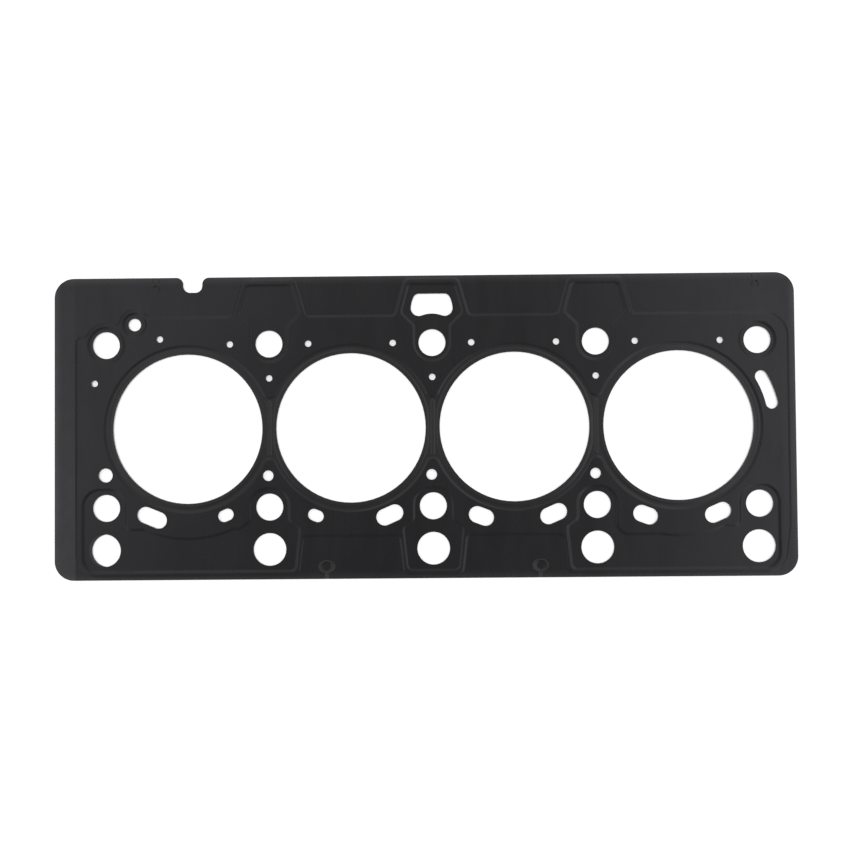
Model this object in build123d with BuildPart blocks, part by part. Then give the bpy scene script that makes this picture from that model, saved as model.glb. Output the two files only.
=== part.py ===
from build123d import *
import os

# Cylinder head gasket for a four-cylinder engine, built as multi-layer steel: two thin spring-steel
# layers with embossed beads, a flat carrier between them, and a stopper ring round each cylinder.
# Millimetres, +Z up, lying flat with its underside on Z = 0. X runs along the cylinder row and the
# locating notch is on the +Y side. The origin is the middle of the outline. All sketches are drawn
# from the middle of the cylinder row, see row_plane().

# Cylinder row
bore_diameter = 76.8
web_width = 7.2
bore_count = 4

# Outline, as margins past the end cylinders and edges from the cylinder row
end_margin_left = 68.8
end_margin_right = 60.2
edge_top = 78.2
edge_bottom = -77.4
corner_radius = 10.0

# Locating notch in the top edge, placed from the first cylinder
notch_from_bore = 2.7
notch_width = 9.9
notch_depth = 7.8
notch_corner_radius = 3.6
notch_lip_radius = 3.5

# Head bolt holes, one pair at each web and one pair past each end cylinder
bolt_hole_diameter = 13.8
bolt_row_top = 43.5
bolt_row_bottom = -40.4
bolt_setback_right = 1.1

# Oil drains under the bolt columns. The first one sits off its column, by less in the lower layers.
drain_diameter = 16.7
drain_row = -62.1
drain_offset_left = -1.1
drain_offset_between_layers = 2.0
drain_offset_right = -0.5

# Coolant and oil openings
jet_diameter = 3.3
jet_spacing = 20.2
web_jet_row = 25.8
end_jet_from_column = -6.0
end_jet_row = 23.8
corner_jet_from_column = 27.7
corner_jet_row = 46.4
web_hole_diameter = 5.4
web_hole_row = -24.3
web_hole_offset = -0.7
end_hole_diameter = 7.2
end_hole_from_column = -0.4
end_hole_row = -23.5
feed_hole_diameter = 6.4
feed_hole_from_column = 14.7
feed_hole_row = 54.0

# Coolant slots below the cylinders, one each side, tangent to a circle outside the cylinder's edge
slot_circle_inset = 10.6
slot_width = 8.5
slot_angles_left = (-112.2, -112.2, -110.8, -110.8)
slot_angle_right = -66.4
slot_lengths_left = (7.2, 0, 4.6, 4.4)
slot_lengths_right = (0, 5.8, 5.7, 5.3)
small_slot_circle_inset = 10.1
small_slot_width = 6.0
small_slot_length = 2.2

# Curved coolant slot beside the last cylinder
curved_slot_circle_inset = 10.8
curved_slot_width = 6.2
curved_slot_start = 13.0
curved_slot_sweep = 17.0

# Crown-shaped slot above the middle bolt, arched over the bolt hole
crown_top = 69.3
crown_bottom = 57.3
crown_half_width_top = 9.6
crown_half_width_bottom = 11.5
crown_shoulder_radius = 3.5
crown_lobe_radius = 2.4
crown_cusp_radius = 0.8
crown_arch_radius = 15.0

# Sheets
sheet_thickness = 0.25
carrier_thickness = 0.7
stopper_thickness = 0.12
bead_height = 0.25
bead_flank = 1.2

# Full bead round each cylinder, sunk between the middles of its two flanks, with a lip inside it
lip_width = 2.2
bead_width = 2.2
bead_crotch_radius = 3.3

# Half bead that borders the raised land, as insets of its flank's middle from the outline
rim_left = 11.3
rim_right = 3.8
rim_bottom = 2.4
rim_top = 1.6
rim_shoulder = 30.7
rim_corner_left = 11.0
rim_corner_right = 12.0
rim_corner_foot = 10.0
rim_bend_x = 2.9
rim_bend_y = 25.0
step_radius = 3.0
strip_floor = 58.0
pocket_roof = -55.1
border_spread = 2.8
feed_border_radius = 7.7
end_bolt_border_radius = 11.0

# Sunk islands round the bolts, also given by the middle of their flank
bolt_island_radius = 9.4
feed_island_radius = 6.0
upper_island_top = 74.0
upper_island_half_top = 12.0
upper_island_half_width = 16.1
upper_island_shoulder = 59.0
upper_island_waist = 52.4
lower_island_bottom = -73.3
lower_island_half_base = 13.4
lower_island_half_width = 15.7
lower_island_shoulder = -51.4
lower_island_waist = -47.4
lower_island_half_neck = 10.1
lower_island_top = -30.7
lower_island_cap_radius = 8.9
lower_island_corner_radius = 8.0
lower_island_flat_roof = -55.4
lower_island_flat_corner = 6.0
lower_island_arc_inset = 17.8
lower_island_margin_left = 14.5
lower_island_margin_right = 9.0

# Clinch points that press the layers into each other, each with a relief slit to the nearest edge
clinch_radius = 3.0
clinch_floor_radius = 2.2
clinch_depth = 0.22
clinch_slit_width = 2.2
clinch_slit_length = 2.9
clinches_bottom = (-54.8, 54.6)
clinch_inset_bottom = 6.3
clinches_top = (-142.2, 166.3)
clinch_inset_top = 5.8

# Stopper rings, clear of the cylinders and of the bead flanks
stopper_bore_clearance = 0.2
stopper_flank_clearance = 0.1

# Worked-out places, from the middle of the cylinder row
bore_radius = bore_diameter / 2
bore_pitch = bore_diameter + web_width
half_row = (bore_count - 1) / 2 * bore_pitch
half_flank = bead_flank / 2
bore_xs = [i * bore_pitch - half_row for i in range(bore_count)]
web_xs = [x + bore_pitch / 2 for x in bore_xs[:-1]]
left_column = bore_xs[0] - bore_pitch / 2
right_column = bore_xs[-1] + bore_pitch / 2 - bolt_setback_right
bolt_columns = [left_column, *web_xs, right_column]
feed_hole = (left_column + feed_hole_from_column, feed_hole_row)
end_hole = (left_column + end_hole_from_column, end_hole_row)
end_jet = (left_column + end_jet_from_column, end_jet_row)
corner_jet = (left_column + corner_jet_from_column, corner_jet_row)
notch_x = bore_xs[0] + notch_from_bore
edge_left = bore_xs[0] - end_margin_left
edge_right = bore_xs[-1] + end_margin_right
length = edge_right - edge_left
width = edge_top - edge_bottom
row_x = -(edge_left + edge_right) / 2
row_y = -(edge_top + edge_bottom) / 2
slot_circle_radius = bore_radius + slot_circle_inset
small_slot_circle_radius = bore_radius + small_slot_circle_inset
curved_slot_circle_radius = bore_radius + curved_slot_circle_inset
lower_island_arc_radius = bore_radius + lower_island_arc_inset
bead_inner_radius = bore_radius + lip_width
bead_outer_radius = bead_inner_radius + bead_width
stopper_inner_radius = bore_radius + stopper_bore_clearance
stopper_outer_radius = bead_inner_radius - half_flank - stopper_flank_clearance

# Heights
rise = sheet_thickness + bead_height
carrier_bottom = rise
carrier_top = carrier_bottom + carrier_thickness


def row_plane(z):
    """Sketch plane at height z with its origin at the middle of the cylinder row."""
    return Plane((row_x, row_y, z))


def outline():
    """Outer shape of a layer with the locating notch."""
    with BuildSketch(mode=Mode.PRIVATE) as shape:
        with Locations((-row_x, -row_y)):
            RectangleRounded(length, width, corner_radius)
        with Locations((notch_x, edge_top)):
            Rectangle(notch_width, 2 * notch_depth, mode=Mode.SUBTRACT)
        mouth = shape.vertices().filter_by(lambda v: abs(v.X - notch_x) < notch_width)
        fillet(mouth.sort_by(Axis.Y)[:2], notch_corner_radius)
        mouth = shape.vertices().filter_by(lambda v: abs(v.X - notch_x) < notch_width)
        fillet(mouth.sort_by(Axis.Y)[-2:], notch_lip_radius)
    return shape.sketch


def crown_slot():
    """Crown-shaped slot with a base arched over the middle bolt."""
    with BuildSketch(mode=Mode.PRIVATE) as shape:
        with BuildLine():
            Polyline(
                (-crown_half_width_bottom, crown_bottom),
                (-crown_half_width_top, crown_top),
                (crown_half_width_top, crown_top),
                (crown_half_width_bottom, crown_bottom),
                close=True,
            )
        make_face()
        with Locations((0, bolt_row_top)):
            Circle(crown_arch_radius, mode=Mode.SUBTRACT)
        corners = shape.vertices().group_by(Axis.Y)
        fillet(corners[-1], crown_shoulder_radius)
        feet = shape.vertices().group_by(Axis.Y)[0].sort_by(Axis.X)
        fillet([feet[0], feet[-1]], crown_lobe_radius)
        cusp_reach = crown_half_width_top - crown_lobe_radius
        feet = shape.vertices().group_by(Axis.Y)[0].filter_by(lambda v: abs(v.X) < cusp_reach)
        fillet(feet, crown_cusp_radius)
    return shape.sketch


def openings(shift):
    """Every opening through a layer. The first drain is moved along X by shift."""
    with BuildSketch(mode=Mode.PRIVATE) as shape:
        with Locations([(x, 0) for x in bore_xs]):
            Circle(bore_radius)
        with Locations([(x, y) for x in bolt_columns for y in (bolt_row_top, bolt_row_bottom)]):
            Circle(bolt_hole_diameter / 2)
        drain_xs = [left_column + shift, *web_xs, right_column + drain_offset_right]
        with Locations([(x, drain_row) for x in drain_xs]):
            Circle(drain_diameter / 2)
        jets = [(x, web_jet_row) for x in web_xs]
        jets += [(x + side * jet_spacing, bolt_row_top) for x in web_xs for side in (-1, 1)]
        jets.append((half_row + bore_pitch / 2 - jet_spacing, bolt_row_top))
        with Locations([*jets, end_jet, corner_jet]):
            Circle(jet_diameter / 2)
        with Locations([(x + web_hole_offset, web_hole_row) for x in web_xs]):
            Circle(web_hole_diameter / 2)
        with Locations(end_hole):
            Circle(end_hole_diameter / 2)
        with Locations(feed_hole):
            Circle(feed_hole_diameter / 2)
        for i, x in enumerate(bore_xs):
            sides = ((slot_angles_left[i], slot_lengths_left[i]), (slot_angle_right, slot_lengths_right[i]))
            for angle, slot_length in sides:
                small = slot_length == 0
                radius = small_slot_circle_radius if small else slot_circle_radius
                with Locations(Pos(x, 0) * Rot(0, 0, angle) * Pos(radius, 0)):
                    if small:
                        SlotCenterToCenter(small_slot_length, small_slot_width, rotation=90)
                    else:
                        SlotCenterToCenter(slot_length, slot_width, rotation=90)
        with BuildLine(mode=Mode.PRIVATE):
            middle = CenterArc(
                (bore_xs[-1], 0), curved_slot_circle_radius, curved_slot_start, curved_slot_sweep
            )
        SlotArc(middle, curved_slot_width)
        add(crown_slot())
    return shape.sketch


def land_outline():
    """Raised land inside the rim, with the pockets between the bolt columns left out."""
    left, right = edge_left + rim_left, edge_right - rim_right
    top, bottom = edge_top - rim_top, edge_bottom + rim_bottom
    shoulder = edge_top - rim_shoulder
    with BuildSketch(mode=Mode.PRIVATE) as shape:
        with BuildLine():
            Polyline(
                (left, bottom),
                (left, shoulder),
                (left_column, shoulder),
                feed_hole,
                (feed_hole[0], strip_floor),
                (right, strip_floor),
                (right, bottom + rim_bend_y),
                (right - rim_bend_x, bottom),
                close=True,
            )
        make_face()
        with Locations((left_column, bolt_row_top)):
            Circle(end_bolt_border_radius)
        with Locations(feed_hole):
            Circle(feed_border_radius)
        foot = upper_island_half_width + border_spread
        head = upper_island_half_top + border_spread / 2
        for x in web_xs:
            with BuildLine():
                Polyline(
                    (x - foot, strip_floor),
                    (x - head, top),
                    (x + head, top),
                    (x + foot, strip_floor),
                    close=True,
                )
            make_face()
        foot = lower_island_half_base + border_spread / 2
        head = lower_island_half_width + border_spread / 2
        for first, second in zip(web_xs[:-1], web_xs[1:]):
            with BuildLine():
                Polyline(
                    (first + foot, bottom),
                    (first + head, pocket_roof),
                    (second - head, pocket_roof),
                    (second - foot, bottom),
                    close=True,
                )
            make_face(mode=Mode.SUBTRACT)
        wide = [(left, bottom), (right, strip_floor), (right - rim_bend_x, bottom)]
        kept = [shape.vertices().sort_by_distance(corner)[0] for corner in wide]
        tight = [v for v in shape.vertices() if v not in kept]
        fillet(tight, step_radius)
        for corner, radius in zip(wide, (rim_corner_left, rim_corner_right, rim_corner_foot)):
            fillet(shape.vertices().sort_by_distance(corner)[0], radius)
    return shape.sketch


def bead_band(spread):
    """Outside of the full beads, joined at the webs and moved outward by spread."""
    with BuildSketch(mode=Mode.PRIVATE) as shape:
        with Locations([(x, 0) for x in bore_xs]):
            Circle(bead_outer_radius + spread)
        fillet(shape.vertices().filter_by(lambda v: abs(v.Y) > web_width / 2), bead_crotch_radius - spread)
    return shape.sketch


def upper_island(x):
    """Sunk island round the upper bolt of a web."""
    neck = bolt_island_radius
    with BuildSketch(mode=Mode.PRIVATE) as shape:
        with BuildLine():
            Polyline(
                (x - upper_island_half_top, upper_island_top),
                (x + upper_island_half_top, upper_island_top),
                (x + upper_island_half_width, upper_island_shoulder),
                (x + neck, upper_island_waist),
                (x + neck, bolt_row_top),
                (x - neck, bolt_row_top),
                (x - neck, upper_island_waist),
                (x - upper_island_half_width, upper_island_shoulder),
                close=True,
            )
        make_face()
        with Locations((x, bolt_row_top)):
            Circle(neck)
        fillet(shape.vertices().filter_by(lambda v: v.Y > bolt_row_top + step_radius), step_radius)
    return shape.sketch


def lower_island(x):
    """Sunk island round the lower bolt and drain of a web."""
    neck = lower_island_half_neck
    with BuildSketch(mode=Mode.PRIVATE) as shape:
        with BuildLine():
            Polyline(
                (x - lower_island_half_base, lower_island_bottom),
                (x - lower_island_half_width, lower_island_shoulder),
                (x - neck, lower_island_waist),
                (x - neck, lower_island_top),
                (x + neck, lower_island_top),
                (x + neck, lower_island_waist),
                (x + lower_island_half_width, lower_island_shoulder),
                (x + lower_island_half_base, lower_island_bottom),
                close=True,
            )
        make_face()
        fillet(shape.vertices().filter_by(lambda v: v.Y < lower_island_top - step_radius), step_radius)
        caps = shape.vertices().filter_by(lambda v: v.Y > lower_island_top - step_radius)
        fillet(caps, lower_island_cap_radius)
    return shape.sketch


def long_island(x, end_x, column, bore_x, flat_roof=None):
    """Sunk island run under a cylinder, from the bolt of web x to the end column."""
    neck = lower_island_half_neck
    band = lower_island_shoulder - lower_island_bottom
    height = lower_island_top - lower_island_bottom
    away = -1 if end_x > x else 1
    end_corner = (end_x, lower_island_bottom)
    with BuildSketch(mode=Mode.PRIVATE) as shape:
        with Locations(((x + end_x) / 2, lower_island_bottom + band / 2)):
            Rectangle(abs(x - end_x), band)
        with Locations((bore_x, 0)):
            Circle(lower_island_arc_radius, mode=Mode.SUBTRACT)
        if flat_roof is not None:
            drop = lower_island_shoulder - flat_roof
            with Locations(((x + bore_x) / 2, flat_roof + drop / 2)):
                Rectangle(abs(x - bore_x), drop, mode=Mode.SUBTRACT)
        inner_x = column + away * neck
        with Locations(((inner_x + end_x) / 2, lower_island_bottom + height / 2)):
            Rectangle(abs(inner_x - end_x), height)
        with Locations((x, lower_island_bottom + height / 2)):
            Rectangle(2 * neck, height)
        with BuildLine():
            Polyline(
                (x, lower_island_bottom),
                (x + away * lower_island_half_base, lower_island_bottom),
                (x + away * lower_island_half_width, lower_island_shoulder),
                (x + away * neck, lower_island_waist),
                (x, lower_island_waist),
                close=True,
            )
        make_face()
        if flat_roof is None:
            with BuildLine():
                Polyline(
                    (x, lower_island_shoulder),
                    (x - away * lower_island_half_width, lower_island_shoulder),
                    (x - away * neck, lower_island_waist),
                    (x, lower_island_waist),
                    close=True,
                )
            make_face()
        else:
            roof_corner = (x - away * neck, flat_roof)
            fillet(shape.vertices().sort_by_distance(roof_corner)[0], lower_island_flat_corner)
        fillet(shape.vertices().sort_by_distance(end_corner)[0], lower_island_corner_radius)
        low = shape.vertices().filter_by(lambda v: v.Y < lower_island_top - step_radius)
        smooth = [*low.sort_by_distance(end_corner)[:2]]
        if flat_roof is not None:
            smooth += low.sort_by_distance(roof_corner)[:2]
        fillet([v for v in low if v not in smooth], step_radius)
        caps = shape.vertices().filter_by(lambda v: v.Y > lower_island_top - step_radius)
        fillet(caps, lower_island_cap_radius)
    return shape.sketch


def round_island(center, radius):
    """Round sunk island about one hole."""
    with BuildSketch(mode=Mode.PRIVATE) as shape:
        with Locations(center):
            Circle(radius)
    return shape.sketch


# Raised land of a formed layer, one bead high, with sloping flanks
land_shape = land_outline()
sunk_shapes = [upper_island(x) for x in web_xs]
sunk_shapes += [round_island((x, bolt_row_top), bolt_island_radius) for x in (left_column, right_column)]
sunk_shapes.append(round_island(feed_hole, feed_island_radius))
sunk_shapes += [lower_island(x) for x in web_xs[1:-1]]
first_end_x = edge_left + lower_island_margin_left
last_end_x = edge_right - lower_island_margin_right
sunk_shapes.append(long_island(web_xs[0], first_end_x, left_column, bore_xs[0]))
sunk_shapes.append(
    long_island(web_xs[-1], last_end_x, right_column, bore_xs[-1], lower_island_flat_roof)
)

with BuildPart() as land:
    with BuildSketch(row_plane(0)):
        offset(land_shape, amount=half_flank)
    with BuildSketch(row_plane(bead_height)):
        offset(land_shape, amount=-half_flank)
    loft(ruled=True)
    for sunk in sunk_shapes:
        with BuildSketch(row_plane(0)):
            offset(sunk, amount=-half_flank)
        with BuildSketch(row_plane(bead_height)):
            offset(sunk, amount=half_flank)
        loft(ruled=True, mode=Mode.SUBTRACT)
    with BuildSketch(row_plane(0)):
        add(bead_band(-half_flank))
    with BuildSketch(row_plane(bead_height)):
        add(bead_band(half_flank))
    loft(ruled=True, mode=Mode.SUBTRACT)
    for x in bore_xs:
        with Locations((row_x + x, row_y, bead_height / 2)):
            Cone(bead_inner_radius + half_flank, bead_inner_radius - half_flank, bead_height)

# Layer as stamped, with its rim at the base and its land and beads above
with BuildPart() as formed_sheet:
    with BuildSketch(row_plane(0)):
        add(outline())
    extrude(amount=sheet_thickness)
    with Locations((0, 0, sheet_thickness)):
        add(land.part)
    add(land.part, mode=Mode.SUBTRACT)

# Pressed button of a clinch point, hanging from its layer's upper face
with BuildPart() as clinch_button:
    Cone(clinch_floor_radius, clinch_radius, clinch_depth, align=(Align.CENTER, Align.CENTER, Align.MAX))

clinches = [(x, edge_bottom + clinch_inset_bottom) for x in clinches_bottom]
clinches += [(x, edge_top - clinch_inset_top) for x in clinches_top]


def clinch_spots(z):
    """Places of the clinch points at height z."""
    return [(row_x + x, row_y + y, z) for x, y in clinches]


with BuildPart() as top_beaded_layer:
    with Locations((0, 0, carrier_top)):
        add(formed_sheet.part)
    with Locations(clinch_spots(carrier_top + sheet_thickness)):
        add(clinch_button.part, mode=Mode.SUBTRACT)
    with Locations(clinch_spots(carrier_top)):
        add(clinch_button.part)
    with BuildSketch(row_plane(carrier_top)):
        half_slit = clinch_slit_length / 2
        with Locations([(x, edge_bottom + half_slit) for x in clinches_bottom]):
            Rectangle(clinch_slit_width, clinch_slit_length)
        with Locations([(x, edge_top - half_slit) for x in clinches_top]):
            Rectangle(clinch_slit_width, clinch_slit_length)
    extrude(amount=rise, mode=Mode.SUBTRACT)
    with BuildSketch(row_plane(carrier_top)):
        add(openings(drain_offset_left))
    extrude(amount=rise, mode=Mode.SUBTRACT)

with BuildPart() as carrier_layer:
    with BuildSketch(row_plane(carrier_bottom)):
        add(outline())
        add(openings(drain_offset_left + drain_offset_between_layers), mode=Mode.SUBTRACT)
    extrude(amount=carrier_thickness)
    with Locations(clinch_spots(carrier_top)):
        add(clinch_button.part, mode=Mode.SUBTRACT)
    with Locations(clinch_spots(carrier_bottom)):
        add(clinch_button.part)

with BuildPart() as bottom_beaded_layer:
    add(mirror(formed_sheet.part, about=Plane.XY, mode=Mode.PRIVATE).moved(Pos(0, 0, rise)))
    with Locations(clinch_spots(carrier_bottom)):
        add(clinch_button.part, mode=Mode.SUBTRACT)
    with Locations(clinch_spots(carrier_bottom - sheet_thickness)):
        add(clinch_button.part)
    with BuildSketch(row_plane(0)):
        add(openings(drain_offset_left + drain_offset_between_layers))
    extrude(amount=rise, mode=Mode.SUBTRACT)

os.makedirs("parts", exist_ok=True)

for number, x in enumerate(bore_xs, start=1):
    with BuildPart() as stopper_ring:
        with BuildSketch(row_plane(carrier_top)):
            with Locations((x, 0)):
                Circle(stopper_outer_radius)
                Circle(stopper_inner_radius, mode=Mode.SUBTRACT)
        extrude(amount=stopper_thickness)
    stopper_ring.part.label = f"stopper_ring_{number}"
    export_step(stopper_ring.part, f"parts/stopper_ring_{number}.step")

top_beaded_layer.part.label = "top_beaded_layer"
carrier_layer.part.label = "carrier_layer"
bottom_beaded_layer.part.label = "bottom_beaded_layer"
export_step(top_beaded_layer.part, "parts/top_beaded_layer.step")
export_step(carrier_layer.part, "parts/carrier_layer.step")
export_step(bottom_beaded_layer.part, "parts/bottom_beaded_layer.step")
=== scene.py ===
"""Cylinder head gasket: smooth beaded sheets, coating, bare edges, light and camera."""
import math

import bpy
import numpy as np
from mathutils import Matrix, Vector
from mathutils.geometry import delaunay_2d_cdt


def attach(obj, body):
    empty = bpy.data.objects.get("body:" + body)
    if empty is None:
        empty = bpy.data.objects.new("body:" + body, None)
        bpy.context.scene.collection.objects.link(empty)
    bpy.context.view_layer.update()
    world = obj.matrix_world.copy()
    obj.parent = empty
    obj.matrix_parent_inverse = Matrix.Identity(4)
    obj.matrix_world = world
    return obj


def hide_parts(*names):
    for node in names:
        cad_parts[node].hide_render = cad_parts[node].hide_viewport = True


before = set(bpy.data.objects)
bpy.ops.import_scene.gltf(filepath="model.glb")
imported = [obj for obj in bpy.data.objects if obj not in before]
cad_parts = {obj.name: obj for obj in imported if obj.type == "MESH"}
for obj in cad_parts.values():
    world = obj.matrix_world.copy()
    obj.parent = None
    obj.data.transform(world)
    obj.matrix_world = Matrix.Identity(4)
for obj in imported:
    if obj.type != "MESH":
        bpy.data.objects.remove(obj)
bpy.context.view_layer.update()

# A millimetre in the scene's metres
MM = 0.001

# Plan sizes in millimetres, measured from the middle of the cylinder row, which lies at ROW_X, ROW_Y
ROW_X, ROW_Y = 4.3, -0.4
LEFT, RIGHT, TOP, BOTTOM = -194.8, 186.2, 78.2, -77.4
HALF_PITCH = 42.0
BORES = tuple(k * HALF_PITCH for k in (-3, -1, 1, 3))
WEBS = tuple(k * HALF_PITCH for k in (-2, 0, 2))
LEFT_COLUMN, RIGHT_COLUMN = -168.0, 166.9
BOLT_TOP, BOLT_BOTTOM, DRAIN_ROW = 43.5, -40.4, -62.1
BORE_R, BOLT_R, DRAIN_R, JET_R = 38.4, 6.9, 8.35, 1.65
FILLET = 3.0

# Holes that stand by themselves: the feed hole, the end hole, and jets off the rows
FEED, FEED_R = (-153.3, 54.0), 3.2
END_HOLE, END_HOLE_R = (-168.4, -23.5), 3.6
LOOSE_JETS = ((147.8, BOLT_TOP), (-174.0, 23.8), (-140.3, 46.4))

# Shift of the left drain, in the top sheet and in the bottom sheet, and of the right drain
DRAIN_LEFT_TOP, DRAIN_LEFT_LOW, DRAIN_RIGHT = -1.1, 0.9, -0.5

# Heights: sheet and carrier thickness, the rise of a formed line, and the rise of a cylinder's lip
SHEET, CARRIER, HEIGHT, LIP = 0.25, 0.7, 0.25, 0.15
CARRIER_TOP = SHEET + HEIGHT + CARRIER

# A rounded flank's reach on the low and on the high side of its line, and its number of strips
FOOT, CREST = 1.1, 0.76
STRIPS = 10

# Clinch points: their places, the slits that reach them, and the tabs of the upper two
BOTTOM_CLINCHES, TOP_CLINCHES = (-54.8, 54.6), (-142.2, 166.3)
CLINCH_INSET_BOTTOM, CLINCH_INSET_TOP = 6.3, 5.8
SLIT_HALF, SLIT_DEPTH = 1.1, 2.9
TAB_HALF, TAB_DEPTH, TAB_SLIT_HALF = 1.75, 3.1, 0.3

# Longest step along an arc, as an angle and in millimetres, and the least distance between two points
ARC_STEP, RUN_STEP, SAME = 0.12, 1.0, 0.001

# Places of the two angles in an arc (x, y, radius, from, to)
START, STOP = 3, 4


# ---------------------------------------------------------------- plan outlines as arcs and lines

def end_point(item, end):
    """Where a corner lies, or the end of an arc that START or STOP names."""
    if len(item) == 3:
        return Vector(item[:2])
    x, y, radius = item[:3]
    return Vector((x + radius * math.cos(item[end]), y + radius * math.sin(item[end])))


def rounded(before, corner, after, radius):
    """Arc that rounds the corner between two other points."""
    come, go = (corner - before).normalized(), (after - corner).normalized()
    turn = math.atan2(come.x * go.y - come.y * go.x, come.dot(go))
    side = 1 if turn > 0 else -1
    reach = radius * math.tan(abs(turn) / 2)
    start = corner - come * reach
    normal = Vector((-come.y, come.x)) * side
    centre = start + normal * radius
    first = math.atan2(-normal.y, -normal.x)
    return centre.x, centre.y, radius, first, first + turn


def path(items):
    """Arcs of a closed path. An item is a corner (x, y, radius) or an arc (x, y, radius, from, to)."""
    arcs = []
    for k, item in enumerate(items):
        if len(item) == 3:
            before = end_point(items[k - 1], STOP)
            after = end_point(items[(k + 1) % len(items)], START)
            item = rounded(before, Vector(item[:2]), after, item[2])
        arcs.append(item)
    return arcs


def ring(x, y, radius):
    return [(x, y, radius, 0.0, 2 * math.pi)]


def points(arcs, spread=0.0):
    """Points along a path moved outward by spread, always as many of them for each spread."""
    out = []
    last = opening = None
    for x, y, radius, start, end in arcs:
        turn = end - start
        moved = radius + spread if turn > 0 else radius - spread
        count = max(2, math.ceil(abs(turn) / ARC_STEP), math.ceil(radius * abs(turn) / RUN_STEP))
        whole = math.isclose(abs(turn), 2 * math.pi)
        for k in range(count if whole else count + 1):
            angle = start + turn * k / count
            spot = Vector((x + radius * math.cos(angle), y + radius * math.sin(angle)))
            if last is None or (spot - last).length > SAME:
                out.append((x + moved * math.cos(angle), y + moved * math.sin(angle)))
            last = spot
            opening = opening or spot
    return out[:-1] if (last - opening).length < SAME else out


def touching(ax, ay, ar, bx, by, br, side):
    """Centre at distance ar from A and br from B, left of the way from A to B if side is 1."""
    away = Vector((bx - ax, by - ay))
    span = away.length
    along = (ar * ar - br * br + span * span) / (2 * span)
    across = math.sqrt(ar * ar - along * along) * side
    away.normalize()
    return ax + away.x * along - away.y * across, ay + away.y * along + away.x * across


def heading(ax, ay, bx, by):
    return math.atan2(by - ay, bx - ax)


def slit(x, edge, way, half, depth):
    """Slit cut in from the top edge if way is 1, or from the bottom edge if it is -1."""
    mouth, tip = 0.25, 0.28
    end = edge - way * depth
    steps = [(x + half * way, edge, mouth), (x + half * way, end, tip)]
    return steps + [(x - half * way, end, tip), (x - half * way, edge, mouth)]


def tab(x):
    """Two narrow slits that free a clinch tab at the top edge."""
    right = slit(x + TAB_HALF, TOP, 1, TAB_SLIT_HALF, TAB_DEPTH)
    return right + slit(x - TAB_HALF, TOP, 1, TAB_SLIT_HALF, TAB_DEPTH)


def outline_path(slits):
    """Edge of a sheet, with the notch and, on the top sheet, the clinch slits."""
    corner, notch, half, depth, lip, root = 10.0, -123.3, 4.95, 7.8, 3.5, 3.6
    items = [(LEFT, BOTTOM, corner)]
    if slits:
        for x in BOTTOM_CLINCHES:
            items += slit(x, BOTTOM, -1, SLIT_HALF, SLIT_DEPTH)
    items += [(RIGHT, BOTTOM, corner), (RIGHT, TOP, corner)]
    if slits:
        items += tab(TOP_CLINCHES[1])
    items += [(notch + half, TOP, lip), (notch + half, TOP - depth, root)]
    items += [(notch - half, TOP - depth, root), (notch - half, TOP, lip)]
    if slits:
        items += tab(TOP_CLINCHES[0])
    items += [(LEFT, TOP, corner)]
    return path(items)


def feed_border(strip, shoulder):
    """Border from the strip's floor round the feed hole and the first bolt to the left shoulder."""
    feed_r, bolt_r = 7.7, 11.0
    fx, fy = FEED
    bx, by = LEFT_COLUMN, BOLT_TOP
    rise, low = strip + FILLET, shoulder + FILLET
    px = fx + math.sqrt((feed_r + FILLET) ** 2 - (rise - fy) ** 2)
    cx, cy = touching(fx, fy, feed_r + FILLET, bx, by, bolt_r + FILLET, -1)
    qx = bx - math.sqrt((bolt_r + FILLET) ** 2 - (low - by) ** 2)
    a = heading(px, rise, fx, fy) + 2 * math.pi
    b = heading(fx, fy, cx, cy)
    c = heading(cx, cy, bx, by)
    d = heading(bx, by, qx, low)
    items = [(px, rise, FILLET, 1.5 * math.pi, a), (fx, fy, feed_r, a - math.pi, b)]
    items += [(cx, cy, FILLET, b - math.pi, c), (bx, by, bolt_r, c + math.pi, d)]
    return items + [(qx, low, FILLET, d - math.pi, -math.pi / 2)]


def land_path():
    """Half-bead line round the raised land: bays cut in under the inner cylinders, tongues over the webs."""
    left, right, top, bottom = -183.5, 182.4, 76.6, -75.0
    shoulder, strip, roof = 47.5, 57.4, -55.1
    bay_foot, bay_head, tongue_foot, tongue_head = 14.8, 17.1, 18.9, 13.4
    bend_x, bend_y = 2.9, 25.0
    low_left, low_right, high_right = 11.0, 10.0, 12.0
    items = [(left, bottom, low_left)]
    for first, second in zip(WEBS[:-1], WEBS[1:]):
        items += [(first + bay_foot, bottom, FILLET), (first + bay_head, roof, FILLET)]
        items += [(second - bay_head, roof, FILLET), (second - bay_foot, bottom, FILLET)]
    items += [(right - bend_x, bottom, low_right), (right, bottom + bend_y, FILLET)]
    items += [(right, strip, high_right)]
    for x in reversed(WEBS):
        items += [(x + tongue_foot, strip, FILLET), (x + tongue_head, top, FILLET)]
        items += [(x - tongue_head, top, FILLET), (x - tongue_foot, strip, FILLET)]
    items += feed_border(strip, shoulder)
    items.append((left, shoulder, FILLET))
    return path(items)


# Sunk islands round the top bolts: half widths of neck, shoulder and head, and each one's upper end
TOP_NECK, TOP_HALF, TOP_HALF_HEAD = 9.4, 16.1, 12.0
TOP_WAIST, TOP_SHOULDER, TOP_HEAD = 52.4, 59.0, 74.0


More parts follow.
